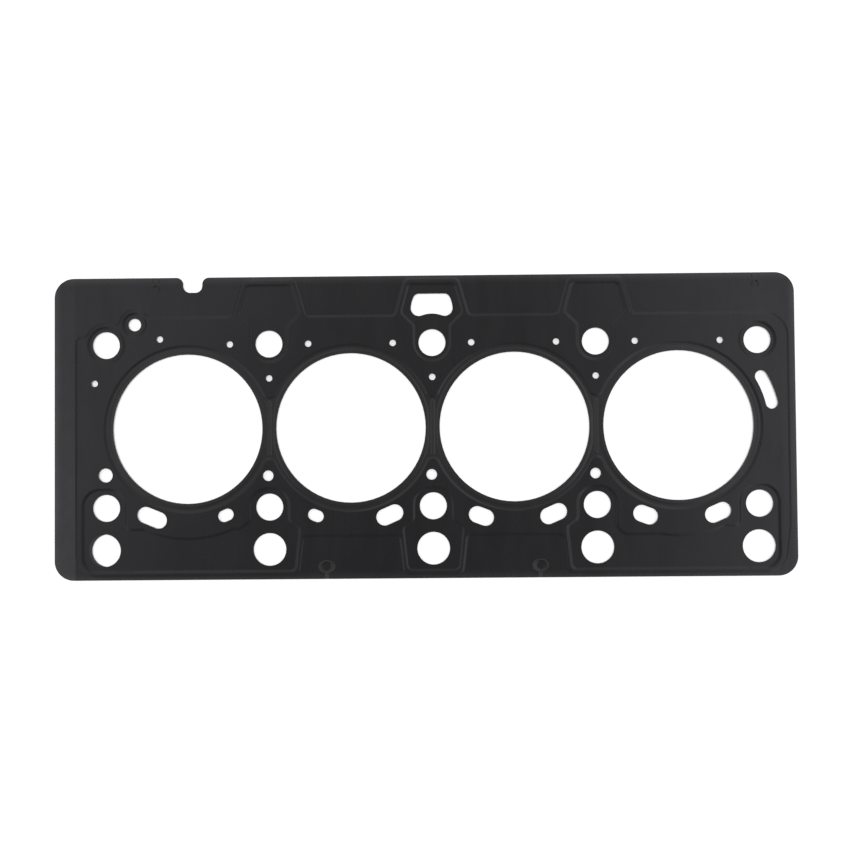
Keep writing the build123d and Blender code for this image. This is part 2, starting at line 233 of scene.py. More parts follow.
def upper_island_path(x):
    foot = BOLT_TOP - TOP_NECK
    items = [(x - TOP_NECK, foot, TOP_NECK), (x + TOP_NECK, foot, TOP_NECK)]
    items += [(x + TOP_NECK, TOP_WAIST, FILLET), (x + TOP_HALF, TOP_SHOULDER, FILLET)]
    items += [(x + TOP_HALF_HEAD, TOP_HEAD, FILLET)]
    items += [(x - TOP_HALF_HEAD, TOP_HEAD, FILLET), (x - TOP_HALF, TOP_SHOULDER, FILLET)]
    items += [(x - TOP_NECK, TOP_WAIST, FILLET)]
    return path(items)


# Sunk islands round the lower bolts and drains, two of which run on under a cylinder to the sheet's end:
# heights and half widths, and radii of a cap, of the corners at the sheet's end and of the arc over the run
BASE, SHOULDER, WAIST, CAP = -73.3, -51.4, -47.4, -30.7
NECK, HALF_BASE, HALF = 10.1, 13.4, 15.7
CAP_R, END_R, ARC_R = 8.9, 8.0, 56.2


def lower_island_path(x):
    right = [(x + HALF_BASE, BASE, FILLET), (x + HALF, SHOULDER, FILLET)]
    right += [(x + NECK, WAIST, FILLET), (x + NECK, CAP, CAP_R)]
    left = [(2 * x - a, b, c) for a, b, c in reversed(right)]
    return path(right + left)


def roof_arcs(bore, right_roof, left_roof):
    """Arc about a cylinder over an island, with the fillets where it meets the level roofs beside it."""
    ends = []
    for roof, way in ((right_roof, 1), (left_roof, -1)):
        y = roof - FILLET
        x = bore + way * math.sqrt((ARC_R + FILLET) * (ARC_R + FILLET) - y * y)
        ends.append((x, y, math.atan2(y, x - bore)))
    (ax, ay, a), (bx, by, b) = ends
    arcs = [(ax, ay, FILLET, math.pi / 2, a + math.pi), (bore, 0.0, ARC_R, a, b)]
    return arcs + [(bx, by, FILLET, b + math.pi, math.pi / 2)]


def left_island_path():
    x, end, inner = WEBS[0], -180.3, LEFT_COLUMN + NECK
    items = [(end, BASE, END_R), (x + HALF_BASE, BASE, FILLET), (x + HALF, SHOULDER, FILLET)]
    items += [(x + NECK, WAIST, FILLET), (x + NECK, CAP, CAP_R), (x - NECK, CAP, CAP_R)]
    items += [(x - NECK, WAIST, FILLET), (x - HALF, SHOULDER, FILLET)]
    items += roof_arcs(BORES[0], SHOULDER, SHOULDER)
    items += [(inner, SHOULDER, FILLET), (inner, CAP, CAP_R), (end, CAP, CAP_R)]
    return path(items)


def right_island_path():
    x, end, inner = WEBS[2], 177.2, RIGHT_COLUMN - NECK
    roof, roof_corner = -55.4, 6.0
    items = [(x - HALF_BASE, BASE, FILLET), (end, BASE, END_R), (end, CAP, CAP_R), (inner, CAP, CAP_R)]
    items += [(inner, SHOULDER, FILLET)]
    items += roof_arcs(BORES[3], SHOULDER, roof)
    items += [(x + NECK, roof, roof_corner), (x + NECK, CAP, CAP_R), (x - NECK, CAP, CAP_R)]
    items += [(x - NECK, WAIST, FILLET), (x - HALF, SHOULDER, FILLET)]
    return path(items)


def bead_path():
    """Outside of the bore beads, joined at the webs."""
    radius, crotch = 42.8, 3.3
    drop = math.sqrt((radius + crotch) ** 2 - HALF_PITCH ** 2)
    lean = math.atan2(drop, HALF_PITCH)
    first, last = BORES[0], BORES[-1]
    arcs = []
    for x in BORES:
        start = lean if x == first else math.pi + lean
        end = 3 * math.pi - lean if x == last else 2 * math.pi - lean
        arcs.append((x, 0.0, radius, start, end))
        if x != last:
            arcs.append((x + HALF_PITCH, -drop, crotch, math.pi - lean, lean))
    for x in reversed(BORES[:-1]):
        arcs.append((x + HALF_PITCH, drop, crotch, 2 * math.pi - lean, math.pi + lean))
        if x != first:
            arcs.append((x, 0.0, radius, lean, math.pi - lean))
    return arcs


def lip_path(bore):
    """Foot of a cylinder's lip, flattened where it passes a web."""
    radius, flat, large = 40.6, 39.9, 200.0
    back = large - flat
    cosine = (radius ** 2 + back ** 2 - large ** 2) / (-2 * radius * back)
    meet = math.acos(cosine)
    bend = math.asin(radius * math.sin(meet) / large)
    right = (bore - back, 0.0, large, -bend, bend)
    left = (bore + back, 0.0, large, math.pi - bend, math.pi + bend)
    if bore == BORES[0]:
        return [(bore, 0.0, radius, meet, 2 * math.pi - meet), right]
    if bore == BORES[-1]:
        return [(bore, 0.0, radius, meet - math.pi, math.pi - meet), left]
    over = (bore, 0.0, radius, meet, math.pi - meet)
    under = (bore, 0.0, radius, math.pi + meet, 2 * math.pi - meet)
    return [over, left, under, right]


def ridge_path(x):
    """Narrow ridge along the middle of a web."""
    half, end = 1.0, 14.1
    corners = ((x - half, -end), (x + half, -end), (x + half, end), (x - half, end))
    return path([(a, b, half) for a, b in corners])


def slot_path(bore, angle, circle, length, width):
    """Straight slot set across the spoke of a cylinder, with its middle on a circle about it."""
    turn = math.radians(angle)
    out = Vector((math.cos(turn), math.sin(turn)))
    along = Vector((-out.y, out.x))
    centre = Vector((bore, 0.0)) + out * circle
    ends = []
    for way, facing in ((1, turn + math.pi / 2), (-1, turn - math.pi / 2)):
        cap = centre + along * way * length / 2
        ends.append((cap.x, cap.y, width / 2, facing - math.pi / 2, facing + math.pi / 2))
    return ends


def curved_slot_path():
    """Slot bent about the last cylinder."""
    bore, radius, half, start, end = BORES[3], 49.2, 3.1, math.radians(13.0), math.radians(30.0)
    a = (bore + radius * math.cos(start), radius * math.sin(start), half, start - math.pi, start)
    b = (bore, 0.0, radius + half, start, end)
    c = (bore + radius * math.cos(end), radius * math.sin(end), half, end, end + math.pi)
    d = (bore, 0.0, radius - half, end, start)
    return [a, b, c, d]


def crown_path():
    """Crown-shaped slot over the middle bolt: an arch between two lobes, bowed sides and a level top."""
    arch, lobe, bow, corner = 15.0, 4.1, 16.0, 3.0
    floor, top, half_top = 57.3, 68.85, 6.6
    lobe_y, corner_y = floor + lobe, top - corner
    lobe_x = math.sqrt((arch + lobe) ** 2 - (lobe_y - BOLT_TOP) ** 2)
    lean = heading(0.0, BOLT_TOP, lobe_x, lobe_y)
    x, y = touching(lobe_x, lobe_y, bow - lobe, half_top, corner_y, bow - corner, 1)
    a, b = heading(x, y, lobe_x, lobe_y), heading(x, y, half_top, corner_y)
    right = [(lobe_x, lobe_y, lobe, lean - math.pi, a), (x, y, bow, a, b)]
    right += [(half_top, corner_y, corner, b, math.pi / 2)]
    left = [(-cx, cy, r, math.pi - last, math.pi - first) for cx, cy, r, first, last in reversed(right)]
    return [(0.0, BOLT_TOP, arch, math.pi - lean, lean)] + right + left


# Slots below the cylinders: cylinder, angle in degrees, and length without the round ends, or None if small
SLOTS = (
    (0, -112.2, 7.2), (0, -66.4, None), (1, -112.2, None), (1, -66.4, 5.8),
    (2, -110.8, 4.6), (2, -66.4, 5.7), (3, -110.8, 4.4), (3, -66.4, 5.3),
)
SLOT_CIRCLE, SLOT_WIDTH = 49.0, 8.5
SMALL_CIRCLE, SMALL_LENGTH, SMALL_WIDTH = 48.5, 2.2, 6.0


def jet_paths():
    """Small coolant holes."""
    side, web_row = 20.2, 25.8
    out = [ring(x, web_row, JET_R) for x in WEBS]
    out += [ring(x + way * side, BOLT_TOP, JET_R) for x in WEBS for way in (-1, 1)]
    return out + [ring(x, y, JET_R) for x, y in LOOSE_JETS]


def opening_paths(drain_left):
    """Every opening of a sheet but the cylinders."""
    web_hole, web_hole_shift, web_hole_row = 2.7, 0.7, -24.3
    out = []
    for x in (LEFT_COLUMN, *WEBS, RIGHT_COLUMN):
        out += [ring(x, BOLT_TOP, BOLT_R), ring(x, BOLT_BOTTOM, BOLT_R)]
    drains = (LEFT_COLUMN + drain_left, *WEBS, RIGHT_COLUMN + DRAIN_RIGHT)
    out += [ring(x, DRAIN_ROW, DRAIN_R) for x in drains]
    out += jet_paths()
    out += [ring(x - web_hole_shift, web_hole_row, web_hole) for x in WEBS]
    out += [ring(*END_HOLE, END_HOLE_R), ring(*FEED, FEED_R)]
    for k, angle, length in SLOTS:
        if length is None:
            out.append(slot_path(BORES[k], angle, SMALL_CIRCLE, SMALL_LENGTH, SMALL_WIDTH))
        else:
            out.append(slot_path(BORES[k], angle, SLOT_CIRCLE, length, SLOT_WIDTH))
    return out + [curved_slot_path(), crown_path()]


# ---------------------------------------------------------------- sheets

# Places of the materials in a sheet's list, the third being the paler coating of worn collars and of burrs
# with a painted glint, the angle of a sharp edge, and the tolerance of the flats
COATED, CUT, WORN_AND_GLINT = 0, 1, 2
SHARP = math.radians(40)
WELD = 1e-6


def inside(loop, spots):
    """Which spots lie inside a loop."""
    x, y = spots[:, 0], spots[:, 1]
    hit = np.zeros(len(spots), bool)
    xs, ys = loop[:, 0], loop[:, 1]
    near = (x > xs.min()) & (x < xs.max()) & (y > ys.min()) & (y < ys.max())
    if not near.any():
        return hit
    px, py = x[near], y[near]
    odd = np.zeros(len(px), bool)
    for ax, ay, bx, by in zip(xs, ys, np.roll(xs, -1), np.roll(ys, -1)):
        if ay == by:
            continue
        cross = ((ay > py) != (by > py)) & (px < (bx - ax) * (py - ay) / (by - ay) + ax)
        odd ^= cross
    hit[near] = odd
    return hit


def ease(t):
    """Rounded step from 0 to 1."""
    return 0.5 - 0.5 * math.cos(math.pi * min(max(t, 0.0), 1.0))


class Sheet:
    """One thin sheet: flats between loops, joined by rounded flanks, with an underside and edges."""

    def __init__(self):
        # Points of the underside, how thin the coating is at each, faces, and the numbers of the faces in the
        # paler coating: worn clinch collars, and burrs with a painted glint
        self.verts = []
        self.tones = []
        self.faces = []
        self.worn_and_glint = []
        # Loops that bound a flat, and those of them that are an edge of the sheet
        self.flat_loops = []
        self.edge_loops = []
        # Parts of the plan that no flat covers: from an outer to an inner loop, or all of a loop
        self.gaps = []

    def loop(self, flat_points, height, tone=0.0):
        """Ring of points at one height. Its tone is 1 where the coating is thin and pale."""
        start = len(self.verts)
        self.verts += [(x, y, height) for x, y in flat_points]
        self.tones += [tone] * len(flat_points)
        return list(range(start, len(self.verts)))

    def plan(self, loop):
        return np.array([self.verts[i][:2] for i in loop])

    def stitch(self, loops):
        """Strips of faces between loops of as many points, each inside the one before."""
        for outer, inner in zip(loops, loops[1:]):
            count = len(outer)
            for k in range(count):
                nxt = (k + 1) % count
                self.faces.append((outer[k], outer[nxt], inner[nxt], inner[k]))
        self.flat_loops += [loops[0], loops[-1]]
        self.gaps.append((loops[0], loops[-1]))

    def flank(self, arcs, outside, within, tones=(0.0, 0.0), foot=FOOT, crest=CREST):
        """Rounded flank along a path, from its outside height to its inside height."""
        reach, depth = (foot, crest) if outside < within else (crest, foot)
        loops = []
        for k in range(STRIPS + 1):
            t = k / STRIPS
            spread = reach - (reach + depth) * t
            height = outside + (within - outside) * ease(t)
            tone = tones[0] + (tones[1] - tones[0]) * t
            loops.append(self.loop(points(arcs, spread), height, tone))
        self.stitch(loops)

    def hole(self, arcs, height, tone=0.0):
        """Opening in a flat."""
        loop = self.loop(points(arcs), height, tone)
        self.flat_loops.append(loop)
        self.edge_loops.append(loop)
        self.gaps.append((loop, None))

    def on_flats(self, border, spots):
        """Which spots lie inside the border and outside the flanks and openings."""
        keep = inside(self.plan(border), spots)
        for outer, inner in self.gaps:
            skip = inside(self.plan(outer), spots)
            if inner is not None:
                skip &= ~inside(self.plan(inner), spots)
            keep &= ~skip
        return keep

    def fill(self, border):
        """Triangles for all the flats. The border is the last loop of the sheet."""
        self.flat_loops.append(border)
        self.edge_loops.append(border)
        ids = [i for loop in self.flat_loops for i in loop]
        where = {i: k for k, i in enumerate(ids)}
        plan = [Vector(self.verts[i][:2]) for i in ids]
        edges = []
        for loop in self.flat_loops:
            edges += [(where[a], where[b]) for a, b in zip(loop, loop[1:] + loop[:1])]
        flat, _, tris, origin, _, _ = delaunay_2d_cdt(plan, edges, [], 0, WELD)
        back = [ids[o[0]] if o else None for o in origin]
        spots = np.array([[sum(flat[i][a] for i in t) / 3 for a in (0, 1)] for t in tris])
        for t, wanted in zip(tris, self.on_flats(border, spots)):
            if wanted:
                self.faces.append(tuple(back[i] for i in t))

    def upward(self, face):
        a, b, c = (Vector(self.verts[i][:2]) for i in face[:3])
        return face if (b - a).cross(c - b) > 0 else tuple(reversed(face))

    def wall(self, loop):
        """Faces down a bare edge, from the upper side to the underside."""
        count = len(self.verts)
        x, y = self.plan(loop).T
        area = float(np.dot(x, np.roll(y, -1)) - np.dot(y, np.roll(x, -1)))
        border = loop is self.edge_loops[-1]
        out = []
        for a, b in zip(loop, loop[1:] + loop[:1]):
            face = (a, a + count, b + count, b)
            out.append(face if (area > 0) == border else tuple(reversed(face)))
        return out

    def shell(self, base, flip):
        """Points in metres, and faces: the upper side, the underside below it, and the bare edges."""
        count = len(self.verts)
        verts = [(x, y, z + SHEET) for x, y, z in self.verts] + list(self.verts)
        faces = [self.upward(f) for f in self.faces]
        faces += [tuple(i + count for i in reversed(f)) for f in faces]
        for loop in self.edge_loops:
            faces += self.wall(loop)
        if flip:
            verts = [(x, y, SHEET + HEIGHT - z) for x, y, z in verts]
            faces = [tuple(reversed(f)) for f in faces]
        return [((x + ROW_X) * MM, (y + ROW_Y) * MM, (z + base) * MM) for x, y, z in verts], faces

    def face_materials(self, total):
        """Material of each face: coated sides, worn collars and burrs with a painted glint in the paler
        coating, and cut edges.
        """
        side = len(self.faces)
        marks = np.full(total, COATED, np.int32)
        marks[2 * side:] = CUT
        marks[self.worn_and_glint] = WORN_AND_GLINT
        marks[[side + i for i in self.worn_and_glint]] = WORN_AND_GLINT
        return marks

    def level(self, mesh):
        """Gives the flats a level normal, so that they meet the flanks without a crease or a smear."""
        count, sides = len(self.verts), 2 * len(self.faces)
        flat = np.zeros(2 * count, bool)
        ids = np.array([i for loop in self.flat_loops for i in loop])
        flat[ids] = flat[ids + count] = True
        normals = np.zeros(len(mesh.loops) * 3, np.float32)
        mesh.corner_normals.foreach_get("vector", normals)
        normals = normals.reshape(-1, 3)
        corners = np.zeros(len(mesh.loops), np.int32)
        mesh.loops.foreach_get("vertex_index", corners)
        sizes = np.zeros(len(mesh.polygons), np.int32)
        mesh.polygons.foreach_get("loop_total", sizes)
        owner = np.repeat(np.arange(len(sizes)), sizes)
        faces = np.zeros(len(mesh.polygons) * 3, np.float32)
        mesh.polygons.foreach_get("normal", faces)
        way = np.sign(faces.reshape(-1, 3)[owner, 2])
        flats = flat[corners] & (owner < sides)
        normals[flats] = 0.0
        normals[flats, 2] = way[flats]
        mesh.normals_split_custom_set(normals.tolist())

    def build(self, name, base, flip, materials):
        """The piece, standing at height base, and turned over if flip is set."""
        verts, faces = self.shell(base, flip)
        mesh = bpy.data.meshes.new(name)
        mesh.from_pydata(verts, [], faces)
        mesh.polygons.foreach_set("material_index", self.face_materials(len(faces)))
        mesh.shade_smooth()
        mesh.set_sharp_from_angle(angle=SHARP)
        tone = mesh.attributes.new("tone", "FLOAT", "POINT")
        tone.data.foreach_set("value", np.array(self.tones * 2, np.float32))
        self.level(mesh)
        for material in materials:
            mesh.materials.append(material)
        piece = bpy.data.objects.new(name, mesh)
        bpy.context.scene.collection.objects.link(piece)
        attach(piece, "root")
        return piece


# ---------------------------------------------------------------- clinch points

# Radius and height of a pressed button, from its burnished collar to its floor
CLINCH_PROFILE = (
    (3.3, 0.0), (3.15, 0.01), (3.0, 0.022), (2.85, 0.015), (2.7, -0.015), (2.55, -0.06), (2.4, -0.11),
    (2.25, -0.155), (2.1, -0.19), (1.95, -0.21), (1.8, -0.22), (1.65, -0.22),
)
COLLAR_STRIPS = 4

# A full button's collar is drawn out sideways by this share, easing in over 1 mm from the button's radius
COLLAR_STRETCH, BUTTON_R = 0.3, 2.1

# A tab's button as shares of the full one's radius and depth
TAB_CLINCH_SIZE, TAB_CLINCH_DEPTH = 0.68, 0.8

# Radius and height of a burr at a corner of a tab clinch, whose paler coating is a painted glint
BURR_PROFILE = ((0.42, 0.0), (0.32, 0.1), (0.15, 0.16))


def press(sheet, x, y, profile, way=1, stretch=0.0):
    """Round form pressed into a flat. Returns the numbers of its faces."""
    rim = profile[0][0]
    loops = []
    for r, z in profile:
        wide = 1 + stretch * ease(r - BUTTON_R)
        spots = [(x + (a - x) * wide, b) for a, b in points(ring(x, y, rim), r - rim)]
        loops.append(sheet.loop(spots, z * way))
    first = len(sheet.faces)
    sheet.stitch(loops)
    return range(first, len(sheet.faces))


def clinch(sheet, x, y, way):
    """Button with a rubbed collar, pressed down if way is 1, or up if it is -1."""
    faces = press(sheet, x, y, CLINCH_PROFILE, way, COLLAR_STRETCH)
    sheet.worn_and_glint += faces[:len(faces) * COLLAR_STRIPS // (len(CLINCH_PROFILE) - 1)]


def tab_clinch(sheet, x, y, way, burrs):
    """Smaller button at the end of a tab, with burrs at the slits' ends and below the button whose paler
    coating is a painted glint.
    """
    press(sheet, x, y, [(r * TAB_CLINCH_SIZE, z * TAB_CLINCH_DEPTH) for r, z in CLINCH_PROFILE], way)
    if burrs:
        past_slit, half, below = 0.5, 1.5, 3.1
        for side in (-1, 1):
            sheet.worn_and_glint += press(sheet, x + side * TAB_HALF, TOP - TAB_DEPTH - past_slit, BURR_PROFILE)
            sheet.worn_and_glint += press(sheet, x + side * half, y - below, BURR_PROFILE)


# ---------------------------------------------------------------- the two formed sheets

# Radii of the round sunk islands, at the end bolts and at the feed hole
BOLT_ISLAND_R, FEED_ISLAND_R = 9.4, 6.0

# Flanks that reach less far than the others
BEAD_FOOT, LIP_FOOT, RIDGE_FOOT, RIDGE_CREST = 0.9, 0.6, 0.4, 0.45

# How thin the coating is inside the beads, on a web's ridge, on a cylinder's lip and at a bore's edge
BEAD_TONE, RIDGE_TONE, LIP_TONE, BORE_TONE = 0.45, 0.9, 0.6, 1.0


def island_paths():
    islands = [upper_island_path(x) for x in WEBS]
    islands += [ring(x, BOLT_TOP, BOLT_ISLAND_R) for x in (LEFT_COLUMN, RIGHT_COLUMN)]
    islands += [ring(*FEED, FEED_ISLAND_R), left_island_path(), lower_island_path(WEBS[1])]
    return islands + [right_island_path()]


def form_cylinders(sheet):
    """Bore beads, web ridges, lips and bores."""
    sheet.flank(bead_path(), HEIGHT, 0.0, (0.0, BEAD_TONE), foot=BEAD_FOOT)
    for x in WEBS:
        sheet.flank(ridge_path(x), 0.0, LIP, (BEAD_TONE, RIDGE_TONE), foot=RIDGE_FOOT, crest=RIDGE_CREST)
    for x in BORES:
        sheet.flank(lip_path(x), 0.0, LIP, (BEAD_TONE, LIP_TONE), foot=LIP_FOOT)
        sheet.hole(ring(x, 0.0, BORE_R), LIP, BORE_TONE)


def formed_sheet(drain_left, slits, button):
    """Sheet with its rim at height 0. Button is 1, or -1 in a sheet that is turned over later."""
    sheet = Sheet()
    sheet.flank(land_path(), 0.0, HEIGHT)
    islands = island_paths()
    for island in islands:
        sheet.flank(island, HEIGHT, 0.0)
    form_cylinders(sheet)
    land = np.array(points(land_path()))
    sunk = [np.array(points(island)) for island in islands]
    # An opening lies low on the rim and on a sunk island, and else on the raised land
    for opening in opening_paths(drain_left):
        spots = np.array([points(opening)[0]])
        low = not inside(land, spots)[0] or any(inside(s, spots)[0] for s in sunk)
        sheet.hole(opening, 0.0 if low else HEIGHT)
    for x in BOTTOM_CLINCHES:
        clinch(sheet, x, BOTTOM + CLINCH_INSET_BOTTOM, button)
    for x in TOP_CLINCHES:
        tab_clinch(sheet, x, TOP - CLINCH_INSET_TOP, button, slits)
    sheet.fill(sheet.loop(points(outline_path(slits)), 0.0))
    return sheet


# ---------------------------------------------------------------- shader nodes

def shader(name):
    """New node material, its tree and its Principled shader."""
    material = bpy.data.materials.new(name)
    material.use_nodes = True
    tree = material.node_tree
    return material, tree, tree.nodes["Principled BSDF"]


def coordinates(tree, kind="Object"):
    return tree.nodes.new("ShaderNodeTexCoord").outputs[kind]


def split(tree, vector):
    """X, Y and Z of a vector."""
    node = tree.nodes.new("ShaderNodeSeparateXYZ")
    tree.links.new(vector, node.inputs[0])
    return node.outputs


def noise(tree, coords, scale, detail=4.0, rough=0.6, stretch=None):
    if stretch:
        mapping = tree.nodes.new("ShaderNodeMapping")
        mapping.inputs["Scale"].default_value = stretch
        tree.links.new(coords, mapping.inputs["Vector"])
        coords = mapping.outputs["Vector"]
    node = tree.nodes.new("ShaderNodeTexNoise")
    node.inputs["Scale"].default_value = scale
    node.inputs["Detail"].default_value = detail
    node.inputs["Roughness"].default_value = rough
    tree.links.new(coords, node.inputs["Vector"])
    return node.outputs["Fac"]


def ramp(tree, value, span, result):
    """Number or colour that runs between the two results while value runs over the span, and no further."""
    node = tree.nodes.new("ShaderNodeMapRange")
    colour = isinstance(result[0], tuple)
    if colour:
        node.data_type = "FLOAT_VECTOR"
        span = [(end,) * 3 for end in span]
    # The six number sockets come first, then the same ones for vectors
    first = 6 if colour else 0
    tree.links.new(value, node.inputs[first])
    for socket, amount in zip(node.inputs[first + 1:first + 5], (*span, *result)):
        socket.default_value = amount
    return node.outputs[1 if colour else 0]


def math_node(tree, operation, *values):
    node = tree.nodes.new("ShaderNodeMath")
    node.operation = operation
    for socket, value in zip(node.inputs, values):
        if isinstance(value, float):
            socket.default_value = value
        else:
            tree.links.new(value, socket)
    return node.outputs[0]


def mix_node(tree, blend, factor, first, second):
    """Two colours blended. A plain mix may go past its second colour, where the factor is over 1."""
    node = tree.nodes.new("ShaderNodeMix")
    node.data_type = "RGBA"
    node.blend_type = blend
    node.clamp_factor = blend != "MIX"
    colours = [i for i in node.inputs if i.type == "RGBA"]
    for socket, value in ((node.inputs["Factor"], factor), (colours[0], first), (colours[1], second)):
        if isinstance(value, (float, tuple)):
            socket.default_value = value
        else:
            tree.links.new(value, socket)
    return [o for o in node.outputs if o.type == "RGBA"][0]


def bump(tree, bsdf, height, strength, distance, under=None):
    node = tree.nodes.new("ShaderNodeBump")
    node.inputs["Strength"].default_value = strength
    node.inputs["Distance"].default_value = distance
    tree.links.new(height, node.inputs["Height"])
    if under:
        tree.links.new(under, node.inputs["Normal"])
    tree.links.new(node.outputs["Normal"], bsdf.inputs["Normal"])
    return node.outputs["Normal"]


# ---------------------------------------------------------------- materials

# Colours: coating where it is thin, paler coating near the outer edge and on the end rims that is partly a
# painted sheen from the side lights, and steel where it is cut
PALE = (0.0235, 0.0232, 0.0245, 1.0)
PALE_RIM_AND_SHEEN = (0.043, 0.0415, 0.044, 1.0)
BARE = (0.5, 0.5, 0.51, 1.0)

# The part of a noise's range that most of its values lie in, evenly or leaning to the dark side
EVEN, DARKER = (0.3, 0.7), (0.3, 0.75)


def thin_places(tree, coords, smudge):
    """How thin the coating is: as the sheet's points say, smudged, and thinner along the row's middle."""
    tone = tree.nodes.new("ShaderNodeAttribute")
    tone.attribute_name = "tone"
    smudged = math_node(tree, "MULTIPLY", tone.outputs["Fac"], ramp(tree, smudge, EVEN, (0.85, 1.0)))
    off_row = math_node(tree, "ABSOLUTE", split(tree, coords)["Y"])
    thinner = ramp(tree, off_row, (4 * MM, 20 * MM), (1.4, 1.0))
    return math_node(tree, "MULTIPLY", smudged, thinner)


def edge_sheen_and_rim_tone(tree, coords):
    """How much the coating is paled: most at the sheet's edge, and less over the flat rim at its two ends;
    partly a painted sheen from the side lights, partly a paler tone of the rim's coating.
    """
    fade, rim_inside, rim_outside = 4.5 * MM, 7.5 * MM, 6.5 * MM
    left_outside, left_inside = -180.3 * MM, -179.3 * MM
    parts = split(tree, coords)
    x, y = parts["X"], parts["Y"]
    ends = math_node(tree, "SUBTRACT", math_node(tree, "ABSOLUTE", x), (RIGHT - LEFT) / 2 * MM)
    sides = math_node(tree, "SUBTRACT", math_node(tree, "ABSOLUTE", y), (TOP - BOTTOM) / 2 * MM)
    near = ramp(tree, math_node(tree, "MAXIMUM", ends, sides), (-fade, 0.0), (0.0, 1.0))
    weaker_below = ramp(tree, y, (-60 * MM, -40 * MM), (0.6, 1.0))
    near = math_node(tree, "MULTIPLY", math_node(tree, "POWER", near, 1.6), weaker_below)
    rim = ramp(tree, ends, (-rim_inside, -rim_outside), (0.0, 0.12))
    left_rim = ramp(tree, x, (left_outside, left_inside), (0.5, 0.0))
    weaker_above = ramp(tree, y, (-75 * MM, 60 * MM), (1.5, 0.3))
    wide = math_node(tree, "MULTIPLY", math_node(tree, "MAXIMUM", rim, left_rim), weaker_above)
    return math_node(tree, "ADD", near, wide)


def coating(name, dark, light, rough):
    """Thin dark rubber coating: cloudy tone, fine grain, paler at the cylinders, and paler near the outer
    edge and end rims, partly as a painted sheen from the side lights.
    """
    material, tree, bsdf = shader(name)
    coords = coordinates(tree)
    cloud = noise(tree, coords, scale=26.0, detail=5.0, rough=0.55)
    grain = noise(tree, coords, scale=1900.0, detail=2.0, rough=0.5)
    smudge = noise(tree, coords, scale=160.0)
    grain_share = 0.35
    mottle = math_node(tree, "MULTIPLY_ADD", grain, grain_share, cloud)
    base = ramp(tree, mottle, (0.45, 0.9), (dark, light))
    base = mix_node(tree, "MIX", thin_places(tree, coords, smudge), base, PALE)
    # Paler near the outer edge and on the end rims: partly a painted sheen from the side lights, partly the
    # rim coating's paler tone
    sheen_and_rim = math_node(tree, "MULTIPLY", edge_sheen_and_rim_tone(tree, coords), ramp(tree, smudge, EVEN, (0.7, 1.0)))
    base = mix_node(tree, "MIX", sheen_and_rim, base, PALE_RIM_AND_SHEEN)
    tree.links.new(base, bsdf.inputs["Base Color"])
    wiped = noise(tree, coords, scale=90.0, detail=6.0, rough=0.7, stretch=(1.0, 0.25, 1.0))
    tree.links.new(ramp(tree, wiped, (0.35, 0.75), (rough - 0.04, rough + 0.06)), bsdf.inputs["Roughness"])
    under = bump(tree, bsdf, grain, strength=0.12, distance=0.04 * MM)
    bump(tree, bsdf, cloud, strength=0.15, distance=0.4 * MM, under=under)
    return material


def rolled(tree, bsdf, colours, stretch, rough):
    """Fine lines in gloss and height, long along the axes of least stretch. Returns a cloudy colour."""
    coords = coordinates(tree)
    lines = noise(tree, coords, scale=700.0, detail=3.0, stretch=stretch)
    tree.links.new(ramp(tree, lines, EVEN, rough), bsdf.inputs["Roughness"])
    bump(tree, bsdf, lines, strength=0.2, distance=0.03 * MM)
    return ramp(tree, noise(tree, coords, scale=45.0), DARKER, colours)


def steel(name, dark, light, rough, stretch):
    """Bare steel with fine lines along one way and small tone changes."""
    material, tree, bsdf = shader(name)
    base = rolled(tree, bsdf, (dark, light), stretch, (rough - 0.07, rough + 0.09))
    tree.links.new(base, bsdf.inputs["Base Color"])
    bsdf.inputs["Metallic"].default_value = 1.0
    return material


def filmed_steel(name, dark, light, stretch):
    """Steel with a thin dark film on its faces, bright where its edges are cut."""
    material, tree, bsdf = shader(name)
    upright = math_node(tree, "ABSOLUTE", split(tree, coordinates(tree, "Normal"))["Z"])
    cut = ramp(tree, upright, (0.4, 0.6), (1.0, 0.0))
    film = rolled(tree, bsdf, (dark, light), stretch, (0.3, 0.42))
    tree.links.new(mix_node(tree, "MIX", cut, film, BARE), bsdf.inputs["Base Color"])
    tree.links.new(cut, bsdf.inputs["Metallic"])
    return material


coated = coating("rubber_coating", (0.0105, 0.0105, 0.0118), (0.013, 0.0129, 0.0145), 0.26)
# Paler coating: wear on the clinch collars, and a painted glint on the small burrs
worn_and_glint = coating("worn_and_glint_coating", (0.014, 0.014, 0.015), (0.042, 0.041, 0.043), 0.33)
cut_steel = steel("cut_steel", (0.42, 0.42, 0.43), (0.66, 0.66, 0.67), 0.3, (1.0, 1.0, 12.0))
carrier_steel = filmed_steel("filmed_steel", (0.028, 0.028, 0.029), (0.042, 0.0415, 0.043), (0.05, 1.0, 1.0))
stopper_steel = steel("stopper_steel", (0.42, 0.42, 0.43), (0.58, 0.58, 0.6), 0.28, (0.1, 1.0, 1.0))

# ---------------------------------------------------------------- the part

# In the order of COATED, CUT and the paler coating of worn collars and of burrs with a painted glint
finishes = (coated, cut_steel, worn_and_glint)
top_sheet = formed_sheet(DRAIN_LEFT_TOP, True, 1).build("top_sheet", CARRIER_TOP, False, finishes)
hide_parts("top_beaded_layer")
bottom_sheet = formed_sheet(DRAIN_LEFT_LOW, False, -1).build("bottom_sheet", 0.0, True, finishes)
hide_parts("bottom_beaded_layer")

for name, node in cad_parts.items():
    metal = stopper_steel if name.startswith("stopper") else carrier_steel
    for holder in node.material_slots:
        holder.link = "OBJECT"
        holder.material = metal

# ---------------------------------------------------------------- floor, light and camera

# Even light on the part from all round, and the white that the background shows
FILL_LIGHT = 0.8
WHITE = (1.0, 1.0, 1.0, 1.0)

